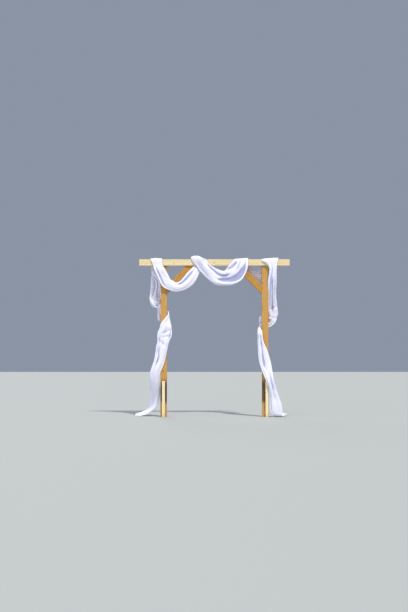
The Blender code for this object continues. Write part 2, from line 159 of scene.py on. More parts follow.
def sawn_timber(name, turn, heart, early, late, knots, ring=0.0042, stain_and_shade=None, weathered=0.25):
    """A finish for one length of timber, grown in the solid, so that faces, edges and end grain
    agree. The turn brings its length upright, the heart is a point on the log's middle, knots
    are (height, bearing in degrees, radius), and the dark band is (from, to, darkness): painted
    shade above a post's foot, soil stain at a stake's foot."""
    finish = bpy.data.materials.new(name)
    finish.use_nodes = True
    tree = finish.node_tree
    shader = tree.nodes["Principled BSDF"]
    turned = Euler([math.radians(a) for a in turn])
    shift = -(turned.to_matrix() @ Vector(heart))
    place = tree.nodes.new("ShaderNodeTexCoord").outputs["Object"]
    log = add_step(tree, "Mapping", {"Vector": place, "Location": shift, "Rotation": turned})

    # The log is never quite straight, so the rings wander along it
    most_bend = 0.016
    bend_stretch = (1, 1, 0.22)
    drawn = add_step(tree, "VectorMath", {0: log, 1: bend_stretch}, operation="MULTIPLY")
    sockets = {"Vector": drawn, "Scale": 7.0, "Detail": 2.0, "Roughness": 0.5}
    bend = add_step(tree, "TexNoise", sockets, out=1)
    offset = add_step(tree, "VectorMath", {0: bend, 1: (-0.5, -0.5, -0.5)}, operation="ADD")
    offset = add_step(tree, "VectorMath", {0: offset, 1: (most_bend, most_bend, 0)}, operation="MULTIPLY")
    bent = add_step(tree, "VectorMath", {0: log, 1: offset}, operation="ADD")
    flat = add_step(tree, "VectorMath", {0: bent, 1: (1, 1, 0)}, operation="MULTIPLY")
    radius = add_step(tree, "VectorMath", {0: flat}, out=1, operation="LENGTH")

    # Each branch starts at the heart, climbs on its way out and pushes the rings round it
    branch_climb = 0.22
    branch_start, branch_whole = 0.002, 0.012
    knot_share = 0.0
    for height, bearing, size in knots:
        angle = math.radians(bearing)
        lean = Vector((math.cos(angle), math.sin(angle), branch_climb)).normalized()
        from_root = add_step(tree, "VectorMath", {0: bent, 1: (0, 0, height)}, operation="SUBTRACT")
        side = add_step(tree, "VectorMath", {0: from_root, 1: lean}, operation="CROSS_PRODUCT")
        away = add_step(tree, "VectorMath", {0: side}, out=1, operation="LENGTH")
        ahead = add_step(tree, "VectorMath", {0: from_root, 1: lean}, out=1, operation="DOT_PRODUCT")
        outwards = spread(tree, ahead, branch_start, branch_whole)
        swell = sums(tree, "MULTIPLY", spread(tree, away, 3.2 * size, 0.6 * size), outwards)
        radius = sums(tree, "MULTIPLY_ADD", swell, 1.1 * size, radius)
        core = sums(tree, "MULTIPLY", spread(tree, away, size, 0.78 * size), outwards)
        knot_share = sums(tree, "MAXIMUM", knot_share, core)

    # Yearly rings: pale spring wood, darkening slowly to a narrow late band
    slow_until, late_band = 0.55, 0.86
    year = sums(tree, "FRACT", sums(tree, "DIVIDE", radius, ring))
    band = tree.nodes.new("ShaderNodeValToRGB")
    stops = band.color_ramp.elements
    stops[0].color = (0, 0, 0, 1)
    stops[1].position = late_band
    stops[1].color = (1, 1, 1, 1)
    stops.new(slow_until).color = (0.22, 0.22, 0.22, 1)
    stops.new(1.0).color = (0.1, 0.1, 0.1, 1)
    tree.links.new(year, band.inputs["Fac"])
    fibre = cloudy(tree, log, stretch=(1, 1, 0.018), scale=620.0, detail=2.0)
    streak = cloudy(tree, log, stretch=(1, 1, 0.035), scale=46.0, detail=3.0)
    patch = cloudy(tree, log, stretch=(1, 1, 0.30), scale=7.0, detail=2.0)
    ring_share = sums(tree, "MULTIPLY", band.outputs["Color"], spread(tree, patch, 0.2, 0.8, 0.55, 1.0))
    wood = tint(tree, ring_share, (*early, 1), (*late, 1))
    deep = tuple(0.55 * c for c in late)
    wood = tint(tree, spread(tree, streak, 0.50, 0.78, 0.0, 0.42), wood, (*late, 1))
    wood = tint(tree, spread(tree, fibre, 0.52, 0.80, 0.0, 0.35), wood, (*deep, 1))

    # Greying and handling marks on the outside
    grime = cloudy(tree, place, scale=9.0, detail=5.0, rough=0.62)
    grey = tuple(0.5 * (sum(late) / 3) + 0.5 * c for c in late)
    wood = tint(tree, spread(tree, grime, 0.50, 0.82, 0.0, weathered), wood, (*grey, 1))
    knot_dark, knot_light, knot_cover = (0.10, 0.040, 0.012, 1), (0.26, 0.115, 0.035, 1), 0.88
    knot_wood = tint(tree, cloudy(tree, log, scale=260.0, detail=2.0), knot_dark, knot_light)
    wood = tint(tree, sums(tree, "MULTIPLY", knot_share, knot_cover), wood, knot_wood)
    # A dark band near the foot. On the posts it is painted shade, standing in for the shade that the
    # stake and the cloth cast on them. On the stakes it is soil stain near the ground.
    if stain_and_shade is not None:
        foot, top, darkness = stain_and_shade
        lower_fade, upper_fade, most_band_wobble = 0.07, 0.14, 0.08
        height = add_step(tree, "SeparateXYZ", {0: place}, out=2)
        band_wobble = cloudy(tree, place, stretch=(1, 1, 0.4), scale=22.0, detail=4.0)
        edge = sums(tree, "MULTIPLY_ADD", band_wobble, -most_band_wobble, height)
        stain_and_shade_share = spread(tree, edge, top, top - upper_fade, 0.0, darkness)
        stain_and_shade_share = sums(tree, "MULTIPLY", stain_and_shade_share, spread(tree, edge, foot - lower_fade, foot))
        wood = tint(tree, stain_and_shade_share, wood, (0.060, 0.024, 0.014, 1))
    tree.links.new(wood, shader.inputs["Base Color"])

    gloss = spread(tree, ring_share, 0.0, 1.0, 0.66, 0.52)
    tree.links.new(gloss, shader.inputs["Roughness"])
    relief = sums(tree, "MULTIPLY_ADD", ring_share, 0.45, sums(tree, "MULTIPLY", fibre, 0.55))
    bump = tree.nodes.new("ShaderNodeBump")
    bump.inputs["Strength"].default_value = 0.55
    bump.inputs["Distance"].default_value = 0.0006
    tree.links.new(relief, bump.inputs["Height"])
    tree.links.new(bump.outputs["Normal"], shader.inputs["Normal"])
    return finish


def dress(node, finish):
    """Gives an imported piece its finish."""
    piece = nodes[node]
    piece.data.materials.clear()
    piece.data.materials.append(finish)


cedar_early = (0.60, 0.33, 0.075)
cedar_late = (0.39, 0.178, 0.028)
# Painted shade in a band above each post's foot, where the stake and the cloth shade it: from, to and
# darkness.
painted_foot_shade = (0.20, 0.54, 0.86)
for node, heart_off, turn, knots in (
    ("left_post", (0.011, 0.016), (0.9, -0.7, 0),
     ((0.62, 250, 0.010), (1.02, 40, 0.008), (1.43, 285, 0.009), (1.71, 150, 0.011), (1.93, 262, 0.007))),
    ("right_post", (-0.014, 0.010), (-0.8, 0.6, 20),
     ((0.47, 255, 0.009), (0.86, 95, 0.010), (1.06, 262, 0.008), (1.18, 228, 0.010), (1.55, 190, 0.009),
      (1.88, 300, 0.008))),
):
    low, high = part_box(node)
    heart = ((low.x + high.x) / 2 + heart_off[0], heart_off[1], 0)
    dress(node, sawn_timber(node + " cedar", turn, heart, cedar_early, cedar_late, knots,
                            stain_and_shade=painted_foot_shade))

# The beam.
# One pale new 4x4 of pine, laid across the post tops with its front a little proud of
# them. Two long deck screws go down through it into each post.
pine_early = (0.80, 0.665, 0.385)
pine_late = (0.66, 0.465, 0.205)
heart_behind_middle, heart_over_foot = 0.020, 0.030
beam_heart = (0, (beam_low.y + beam_high.y) / 2 + heart_behind_middle, beam_low.z + heart_over_foot)
beam_knots = ((-0.19, 200, 0.006), (0.13, 268, 0.007), (0.42, 80, 0.008), (0.70, 255, 0.008),
              (0.97, 282, 0.006), (1.22, 90, 0.007), (1.52, 262, 0.008))
dress("top_beam",
      sawn_timber("beam pine", (0.4, -90.5, 0), beam_heart, pine_early, pine_late, beam_knots,
                  ring=0.0050, weathered=0.12))

screw_steel = bpy.data.materials.new("yellow zinc")
screw_steel.use_nodes = True
steel_tree = screw_steel.node_tree
steel_shader = steel_tree.nodes["Principled BSDF"]
steel_place = steel_tree.nodes.new("ShaderNodeTexCoord").outputs["Object"]
steel_spots = cloudy(steel_tree, steel_place, scale=900.0, detail=3.0)
bright_zinc, worn_zinc = (0.62, 0.50, 0.28, 1), (0.22, 0.15, 0.09, 1)
steel_colour = tint(steel_tree, spread(steel_tree, steel_spots, 0.45, 0.75), bright_zinc, worn_zinc)
steel_tree.links.new(steel_colour, steel_shader.inputs["Base Color"])
steel_gloss = spread(steel_tree, steel_spots, 0.3, 0.8, 0.32, 0.62)
steel_tree.links.new(steel_gloss, steel_shader.inputs["Roughness"])
steel_shader.inputs["Metallic"].default_value = 0.9

head_corners = 24
head_radius = 0.0046
head_proud = 0.0006
head_sunk = 0.004
head_rim = 0.0009
head_dish = 0.0003
star_rim = 0.0011
star_waist = 0.30
recess_depth = 0.0022


def pick_faces(test):
    """Selects the faces of the mesh in edit mode that pass the test, and no others."""
    bpy.ops.mesh.select_mode(type="FACE")
    bpy.ops.mesh.select_all(action="DESELECT")
    bpy.ops.object.mode_set(mode="OBJECT")
    for face in bpy.context.object.data.polygons:
        face.select = test(face)
    bpy.ops.object.mode_set(mode="EDIT")


def pull_corners(share):
    """Draws every other corner of the chosen round face towards its middle, for a star."""
    bpy.ops.object.mode_set(mode="OBJECT")
    mesh = bpy.context.object.data
    face = next(f for f in mesh.polygons if f.select)
    for corner in list(face.vertices)[::2]:
        spot = mesh.vertices[corner].co
        mesh.vertices[corner].co = spot.lerp(face.center, share)
    bpy.ops.object.mode_set(mode="EDIT")


def drive_screw(place, outward):
    """A star-drive screw head, its rim just proud of the wood."""
    bpy.ops.mesh.primitive_cylinder_add(vertices=head_corners, radius=head_radius,
                                        depth=head_sunk + head_proud,
                                        location=(0, 0, (head_proud - head_sunk) / 2))
    screw = bpy.context.object
    bpy.ops.object.transform_apply(location=True)
    bpy.ops.object.mode_set(mode="EDIT")
    pick_faces(lambda face: face.normal.z > 0.9)
    bpy.ops.mesh.inset(thickness=head_rim, depth=head_dish)
    bpy.ops.mesh.inset(thickness=star_rim)
    pull_corners(star_waist)
    bpy.ops.mesh.extrude_region_move(TRANSFORM_OT_translate={"value": (0, 0, -recess_depth)})
    bpy.ops.object.mode_set(mode="OBJECT")
    turn = Vector(outward).to_track_quat("Z", "Y")
    for corner in screw.data.vertices:
        corner.co = turn @ corner.co + Vector(place)
    return screw


def screw_set(name, places):
    """All the screws of one joint or piece, as one mesh that rides on the frame."""
    made = [drive_screw(*place) for place in places]
    bpy.ops.object.select_all(action="DESELECT")
    for screw in made:
        screw.select_set(True)
    bpy.context.view_layer.objects.active = made[0]
    bpy.ops.object.join()
    joined = bpy.context.object
    joined.name = name
    joined.data.materials.append(screw_steel)
    bpy.ops.object.shade_smooth_by_angle(angle=math.radians(35))
    bpy.ops.object.select_all(action="DESELECT")
    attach(joined, "root")


left_low, left_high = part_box("left_post")
right_low, right_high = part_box("right_post")
left_x = (left_low.x + left_high.x) / 2
right_x = (right_low.x + right_high.x) / 2
half_post = (left_high.x - left_low.x) / 2
screw_half_gap = 0.020
screw_stagger = 0.012
screw_set("beam_screws", [
    ((x + side * screw_half_gap, (side - 1) * screw_stagger, beam_high.z), (0, 0, 1))
    for x in (left_x, right_x) for side in (-1, 1)
])

# The knee braces.
# A 45 degree offcut of the same cedar in each upper corner, cut upright at the post and
# level at the beam. Two screws at each end go square through its lower face.
brace_early = (0.54, 0.272, 0.042)
brace_late = (0.38, 0.148, 0.020)
brace_heart_out, brace_heart_back, brace_heart_down = 0.15, 0.018, 0.17
tip_distance = 0.048
for node, side in (("left_brace", 1), ("right_brace", -1)):
    low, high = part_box(node)
    corner = Vector((low.x if side > 0 else high.x, 0, high.z))
    knots = ((0.66 if side > 0 else -0.62, 250, 0.008), (1.62, 100, 0.007))
    heart = (corner.x + side * brace_heart_out, brace_heart_back, high.z - brace_heart_down)
    dress(node,
          sawn_timber(node + " cedar", (1.2, -45 * side, 0), heart, brace_early, brace_late, knots,
                      ring=0.0038, weathered=0.18))
    foot_tip = Vector((corner.x, 0, low.z))
    beam_tip = Vector((high.x if side > 0 else low.x, 0, high.z))
    run = (beam_tip - foot_tip).normalized()
    facing = (side, 0, -1)
    screw_set(node + "_screws", [
        (spot + Vector((0, y, 0)), facing)
        for spot in (foot_tip + run * tip_distance, beam_tip - run * tip_distance)
        for y in (-screw_half_gap, screw_half_gap)
    ])

# The stakes.
# A square of new pine is driven in before each post's foot, and two screws go through its
# front into the post.
stake_early = (0.89, 0.80, 0.49)
stake_late = (0.74, 0.585, 0.30)
stake_stain = (-0.1, 0.05, 0.40)
stake_heart_left, stake_heart_back = 0.028, 0.034
stake_screw_heights = (0.135, 0.405)
for node, bearing in (("left_stake", 250), ("right_stake", 285)):
    low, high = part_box(node)
    middle = (low + high) / 2
    knots = ((0.33, bearing, 0.004),)
    heart = (middle.x - stake_heart_left, middle.y + stake_heart_back, 0)
    dress(node,
          sawn_timber(node + " pine", (1.4, 0.8, 0), heart, stake_early, stake_late, knots,
                      ring=0.0046, stain_and_shade=stake_stain, weathered=0.12))
    screw_set(node + "_screws", [((middle.x, low.y, z), (0, -1, 0)) for z in stake_screw_heights])

# The cloth.
# One long voile drape is gathered in the hand and wound from the ground at the left, round
# the left post, along the beam in two swags and down the right post. Nothing holds it.
cloth_width = 0.71
gap = 0.0003
left_out, left_in = left_low.x, left_high.x
right_in, right_out = right_low.x, right_high.x
beam_foot, beam_crown = beam_low.z, beam_high.z
stake_low, stake_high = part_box("left_stake")
stake_depth, stake_top = stake_high.y - stake_low.y, stake_high.z


def spot(middle, across, outward, width, thick, curl=3.0):
    """A station: where the gathered cloth is, how it faces, how wide and thick it is there,
    how far round on itself it curls, in radians to each side, and where its seam is."""
    across = Vector(across).normalized()
    outward = Vector(outward)
    outward = (outward - across * outward.dot(across)).normalized()
    return [Vector(middle), across, outward, width, thick, curl, 0.0]


def before(x, z, heading, width, thick, off=0.0):
    """Before the posts. The heading is in degrees from straight up towards the right."""
    turn = math.radians(heading)
    middle = (x, -half_post - gap - thick / 2 - off, z)
    return spot(middle, (math.cos(turn), 0, -math.sin(turn)), (0, -1, 0), width, thick)


def behind(x, z, heading, width, thick, facing=1):
    """Behind the posts, with its better side to the back, or to the front when facing is -1."""
    turn = math.radians(heading)
    middle = (x, half_post + gap + thick / 2, z)
    return spot(middle, (math.cos(turn), 0, -math.sin(turn)), (0, facing, 0), width, thick)


def round_beam(x, y_side, z_side, width, thick):
    """At one long edge of the beam."""
    off = gap + 0.25 * thick
    y = (beam_low.y if y_side < 0 else beam_high.y) + y_side * off
    z = (beam_foot if z_side < 0 else beam_crown) + z_side * off
    return spot((x, y, z), (-1, 0, 0), (0, y_side, z_side), width, thick)


def on_beam_front(x, width, thick, z=None):
    """Against the beam's front face."""
    middle = (x, beam_low.y - gap - thick / 2, beam_foot if z is None else z)
    return spot(middle, (-1, 0, 0), (0, -1, 0), width, thick)


def round_post(post_x, x_side, y_side, z, height, thick):
    """At one upright edge of a post."""
    off = half_post + gap + thick / 2
    middle = (post_x + x_side * off, y_side * off, z)
    return spot(middle, (0, 0, -1), (x_side, y_side, 0), height, thick)


def loop_behind(start_x, end_x, depth, widths, thick):
    """A loop that hangs behind the posts, fuller than a parabola."""
    fullness = 2.6
    made = []
    for share in (0.14, 0.30, 0.50, 0.70, 0.86):
        side = 2 * share - 1
        z = beam_foot - depth * (1 - abs(side) ** fullness)
        rise = 2 * fullness * depth * math.copysign(abs(side) ** (fullness - 1), side)
        heading = math.degrees(math.atan2(end_x - start_x, rise))
        width = np.interp(share, np.linspace(0, 1, len(widths)), widths)
        x = start_x + (end_x - start_x) * share
        made.append(behind(x, z, heading, width, thick))
    return made


# How thick the gathered cloth is: hanging, pressed to wood, over the beam, and in a pouf
loose, snug, thin, full = 0.040, 0.028, 0.014, 0.085
beam_proud = -half_post - beam_low.y
first_wrap_x = left_out - 0.044
brace_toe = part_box("left_brace")[1].x
middle_x = brace_toe + 0.0493
loop_start_x = right_in - 0.245
last_wrap_x = right_out + 0.077
level = beam_foot + 0.004

# The way of the cloth, from one loose end to the other
route = [
    # The loose end on the ground, up to the front of the left post
    spot((left_out - 0.365, 0.165, 0.016), (0, -1, 0), (0, 0, 1), 0.090, 0.020, 1.2),
    spot((left_out - 0.275, 0.165, 0.032), (0, -1, 0), (0, 0, 1), 0.150, 0.050, 1.4),
    spot((left_out - 0.182, 0.145, 0.074), (0.3, -1, -0.1), (-0.3, 0, 1), 0.160, 0.050, 1.8),
    spot((left_out - 0.112, 0.095, 0.165), (0.8, -0.7, -0.3), (-0.5, -0.6, 0.5), 0.152, loose),
    spot((left_out - 0.078, 0.030, 0.330), (1, -0.1, -0.1), (0, -1, 0), 0.140, loose),
    before(left_out - 0.074, 0.620, 12, 0.142, loose),
    before(left_x - 0.062, 0.780, 16, 0.150, loose),
    before(left_x - 0.036, 0.905, 8, 0.158, loose),
    # Across the left post, round its inner side and behind it
    before(left_x - 0.022, 0.985, 11, 0.162, loose),
    before(left_x - 0.008, 1.046, 14, 0.162, loose),
    before(left_x - 0.001, 1.102, 17, 0.188, loose),
    before(left_x + 0.015, 1.158, 20, 0.204, 0.044),
    before(left_x + 0.031, 1.218, 18, 0.186, 0.044),
    before(left_x + 0.035, 1.290, 16, 0.156, loose),
    spot((left_in + 0.021, -0.036, 1.355), (0.50, 0.55, -0.67), (0.6, -0.7, 0.1), 0.130, 0.034),
    spot((left_in + 0.021, 0.014, 1.408), (0, 0.62, -0.78), (1, 0, 0), 0.136, snug),
    round_post(left_x, 1, 1, 1.425, 0.146, snug),
    behind(left_x + 0.004, 1.408, -86, 0.146, snug),
    behind(left_out + 0.010, 1.388, -55, 0.128, 0.032, facing=-1),
    # The pouf beside the left post, the panel above it and over the beam
    behind(left_out - 0.004, 1.476, -10, 0.092, 0.036, facing=-1),
    behind(left_out - 0.014, 1.546, -6, 0.096, 0.038, facing=-1),
    behind(left_out - 0.040, 1.570, -18, 0.142, 0.070, facing=-1),
    behind(left_out - 0.064, 1.608, -8, 0.166, 0.082, facing=-1),
    behind(left_out - 0.077, 1.665, 0, 0.186, full, facing=-1),
    behind(left_out - 0.074, 1.750, 0, 0.166, 0.060, facing=-1),
    behind(left_out - 0.068, 1.920, 3, 0.156, loose, facing=-1),
    behind(first_wrap_x - 0.012, level, 0, 0.168, snug),
    round_beam(first_wrap_x - 0.018, 1, 1, 0.162, thin),
    round_beam(first_wrap_x - 0.017, -1, 1, 0.160, thin),
    on_beam_front(first_wrap_x + 0.004, 0.138, 0.024),
    # The first swag, then under the beam beside the brace, up its back and over it
    before(first_wrap_x + 0.035, 2.069, 154, 0.142, loose, off=beam_proud),
    before(first_wrap_x + 0.082, 1.977, 152, 0.150, loose, off=beam_proud),
    before(first_wrap_x + 0.140, 1.877, 130, 0.146, loose, off=beam_proud),
    before(first_wrap_x + 0.202, 1.846, 107, 0.140, loose, off=beam_proud),
    before(first_wrap_x + 0.271, 1.827, 88, 0.128, loose, off=beam_proud),
    before(first_wrap_x + 0.344, 1.848, 62, 0.142, loose, off=beam_proud),
    before(middle_x - 0.148, 1.913, 48, 0.170, loose, off=beam_proud),
    before(middle_x - 0.095, 1.979, 42, 0.168, loose, off=0.8 * beam_proud),
    spot((middle_x - 0.051, -0.064, 2.044), (0.78, 0, -0.62), (0, -1, 0), 0.140, 0.038),
    spot((middle_x - 0.012, -0.046, 2.100), (0.80, 0, -0.60), (0, -1, 0), 0.120, 0.034),
    spot((middle_x + 0.008, 0.014, beam_foot - gap - 0.016), (1, 0, 0), (0, 0, 1), 0.102, 0.032),
    round_beam(middle_x - 0.004, 1, -1, 0.094, 0.034),
    round_beam(middle_x - 0.026, 1, 1, 0.112, 0.036),
    spot((middle_x - 0.012, beam_low.y - 0.012, beam_crown + 0.010), (-1, 0.12, 0.10), (0, -1, 1.2),
         0.190, 0.064),
    before(middle_x + 0.046, 2.162, 141, 0.166, 0.042, off=beam_proud),
    # The second swag, fanned out before it goes over the beam by the right brace
    before(middle_x + 0.094, 2.099, 137, 0.164, loose, off=beam_proud),
    before(middle_x + 0.184, 2.022, 126, 0.186, loose, off=beam_proud),
    before(middle_x + 0.284, 1.960, 107, 0.216, 0.044, off=beam_proud),
    before(middle_x + 0.372, 1.952, 88, 0.208, 0.044, off=beam_proud),
    before(middle_x + 0.452, 1.979, 67, 0.252, 0.042, off=beam_proud),
    before(middle_x + 0.520, 2.030, 53, 0.274, loose, off=beam_proud),
    before(middle_x + 0.570, 2.100, 40, 0.254, 0.034, off=beam_proud),
    before(middle_x + 0.602, 2.176, 22, 0.216, 0.024, off=beam_proud),
    round_beam(middle_x + 0.608, -1, 1, 0.192, 0.008),
    round_beam(middle_x + 0.622, 1, 1, 0.170, 0.010),
    # The loop behind the right brace and post
    behind(loop_start_x, level, 180, 0.150, snug),
    *loop_behind(loop_start_x, last_wrap_x, 0.125, (0.150, 0.130, 0.130, 0.130, 0.140), snug),
    behind(last_wrap_x, level, 0, 0.140, snug),
    # Over the beam, the panel and the pouf beside the right post, tucked behind it
    round_beam(last_wrap_x - 0.022, 1, 1, 0.180, thin),
    spot((last_wrap_x - 0.052, beam_low.y - 0.004, beam_crown + 0.002), (-1, 0, -0.10), (0, -1, 1),
         0.240, 0.018),
    on_beam_front(last_wrap_x - 0.018, 0.134, 0.026, 2.140),
    spot((last_wrap_x - 0.020, -0.062, 1.905), (-1, 0, 0), (0, -1, 0), 0.128, loose),
    spot((last_wrap_x - 0.022, -0.004, 1.690), (-1, 0, 0), (0, -1, 0), 0.128, 0.046),
    spot((last_wrap_x - 0.014, 0.026, 1.560), (-1, 0, 0), (0, -1, 0), 0.144, 0.060),
    spot((last_wrap_x - 0.008, 0.052, 1.444), (-1, 0, 0), (0, -1, 0), 0.160, 0.078),
    spot((last_wrap_x - 0.014, 0.056, 1.388), (-1, 0.1, -0.2), (0, -1, 0), 0.144, 0.082),
    spot((last_wrap_x - 0.034, 0.062, 1.344), (-0.62, 0.45, 0.64), (0, -1, 0.2), 0.130, 0.062),
    spot((right_out - 0.010, 0.068, 1.324), (-0.2, 0.34, 0.90), (0, -1, 0), 0.146, 0.030),
    # Behind the right post and round its inner side
    behind(right_in + 0.044, 1.352, 268, 0.148, snug, facing=-1),
    behind(right_in + 0.010, 1.366, 236, 0.128, 0.034, facing=-1),
    behind(right_in - 0.002, 1.298, 198, 0.064, 0.040, facing=-1),
    spot((right_in - 0.028, -0.004, 1.236), (-1, 0, 0), (0, -1, 0), 0.054, 0.056),
    spot((right_in - 0.032, -half_post - 0.028, 1.168), (-1, 0, 0), (0, -1, 0), 0.068, 0.052),
    # Across the right post and its stake, down to the hem on the ground
    before(right_x - 0.074, 1.106, 174, 0.074, 0.046),
    before(right_x - 0.070, 1.052, 172, 0.088, 0.044),
    before(right_x - 0.057, 0.996, 171, 0.108, loose),
    before(right_x - 0.041, 0.934, 170, 0.132, loose),
    before(right_x - 0.022, 0.842, 168, 0.154, loose),
    before(right_x + 0.002, 0.741, 166, 0.162, loose),
    before(right_x + 0.028, 0.638, 160, 0.144, loose, off=0.012),
    before(right_x + 0.059, stake_top + 0.020, 158, 0.112, loose, off=stake_depth + 0.004),
    before(right_out + 0.054, 0.391, 165, 0.102, loose, off=stake_depth),
    spot((right_out + 0.083, -0.086, 0.261), (-1, 0, 0), (0, -1, 0), 0.138, loose),
    spot((right_out + 0.101, -0.082, 0.148), (-1, 0, 0), (0, -1, 0), 0.172, loose),
    spot((right_out + 0.110, -0.078, 0.072), (-1, 0, 0), (0, -1, 0), 0.162, 0.032),
    spot((right_out + 0.120, -0.070, 0.026), (-1, 0.1, 0), (0, -0.9, -0.35), 0.138, 0.022),
    spot((right_out + 0.138, -0.030, 0.010), (-1, 0.3, 0), (0, -0.1, -1), 0.130, 0.016, 2.8),
    spot((right_out + 0.190, 0.056, 0.024), (-0.9, 0.5, 0), (0, 0, -1), 0.110, 0.022, 2.4),
    spot((right_out + 0.246, 0.122, 0.040), (-0.8, 0.6, 0), (0, 0, -1), 0.066, 0.016, 1.8),
]
# Seen along the route, every station is laid the same way round. Where one would swing
# right over from the last, it is turned back by half a turn, and its seam with it.
for last, place, following in zip(route[:1] + route, route, route[1:] + route[-1:]):
    if place[1].dot((following[0] - last[0]).cross(place[2])) < 0:
        place[1] = -place[1]
    if place[1].dot(last[1]) < 0:
        place[1], place[2], place[6] = -place[1], -place[2], math.pi


def through(marks, values, at):
    """A smooth curve through the values, which stand at the marks."""
    values = np.asarray(values, float)
    slopes = np.gradient(values, marks, axis=0)
    i = np.clip(np.searchsorted(marks, at, side="right") - 1, 0, len(marks) - 2)
    span = (marks[i + 1] - marks[i])[:, None]
    t = (at - marks[i])[:, None] / span
    rest = 1 - t
    return (rest * rest * (1 + 2 * t) * values[i] + t * rest * rest * span * slopes[i]
            + t * t * (3 - 2 * t) * values[i + 1] - t * t * rest * span * slopes[i + 1])


# The stations are joined by one smooth line, which the cloth's rows follow at even distances
middles = np.array([place[0] for place in route])
marks = np.concatenate([[0], np.cumsum(np.linalg.norm(np.diff(middles, axis=0), axis=1))])
fine_steps = 6000
fine = np.linspace(0, marks[-1], fine_steps)
way = through(marks, middles, fine)
travelled = np.concatenate([[0], np.cumsum(np.linalg.norm(np.diff(way, axis=0), axis=1))])
cloth_length = travelled[-1]

rows, columns, flap_columns = 770, 126, 28
outer_columns = columns - flap_columns
along = np.linspace(0, cloth_length, rows)
at = np.interp(along, travelled, fine)
middle = through(marks, middles, at)
across = through(marks, [place[1] for place in route], at)
across /= np.linalg.norm(across, axis=1)[:, None]
outward = through(marks, [place[2] for place in route], at)
outward -= across * (outward * across).sum(axis=1)[:, None]
outward /= np.linalg.norm(outward, axis=1)[:, None]
width, thick, curl, seam = through(marks, [place[3:] for place in route], at).T[:, :, None]

# Across the cloth, one turn lies outside and the rest, the flap, is rolled up inside it. Here
# s is how far along the cloth a point is, and u how far across its seen side.
s = along[:, None]
u = np.linspace(-1, 1, outer_columns)[None, :]
flap = np.linspace(0, 1, flap_columns + 1)[None, 1:]
open_curl, rolled_curl, full_roll = 1.7, 2.4, 5.6
flap_turn = full_roll * np.clip(curl - open_curl, 0.1, 1)
turn = np.concatenate([curl * u, curl + flap_turn * flap], axis=1)
tucked = np.concatenate([0 * s * u, (0 * s + flap) ** 0.7], axis=1)
u = np.concatenate([u, 1 + flap], axis=1)


def wander(seed, long_wave, wide_wave):
    """Smooth unevenness over the cloth, from about -1 to 1, as a sum of four waves."""
    total = 0
    for k in range(1, 5):
        start = math.sin(seed * 12.9898 + k * 78.233)
        slant = math.sin(seed * 39.346 + k * 11.135)
        total = total + np.sin(s / long_wave * (0.7 + 0.45 * k) * 6.283 + u / wide_wave * 2.2 * slant * k
                               + 6.283 * start) / (0.8 + 0.5 * k)
    return total / 1.6


# The gathers. The outer turn has a few soft faces with narrow grooves between them, which
# wander, fade and tuck under the next face as they go, and are shallower in the two swags.
grooves = 5
drift = 0.9
swags_middle, swags_reach = 3.95, 1.15
phase = math.pi * grooves * u + 1.5 * wander(1, 2.0, 1.4) + 0.6 * wander(2, 0.7, 0.9) + drift * s
groove = ((1 + np.cos(phase + 0.8 * np.sin(phase * 0.5 + drift * s))) / 2) ** 1.9
calm = 1 - 0.65 * np.exp(-np.abs((s - swags_middle) / swags_reach) ** 6)
groove = groove * np.clip(0.42 + 0.50 * wander(3, 1.0, 0.6), 0.03, 0.9) * calm
swell = np.sin(0.55 * phase - 2.6 * s + 1.4 * wander(4, 1.1, 0.9))
lean = 0.9 * np.tanh(1.5 * wander(5, 2.3, 1.6) + 0.6)

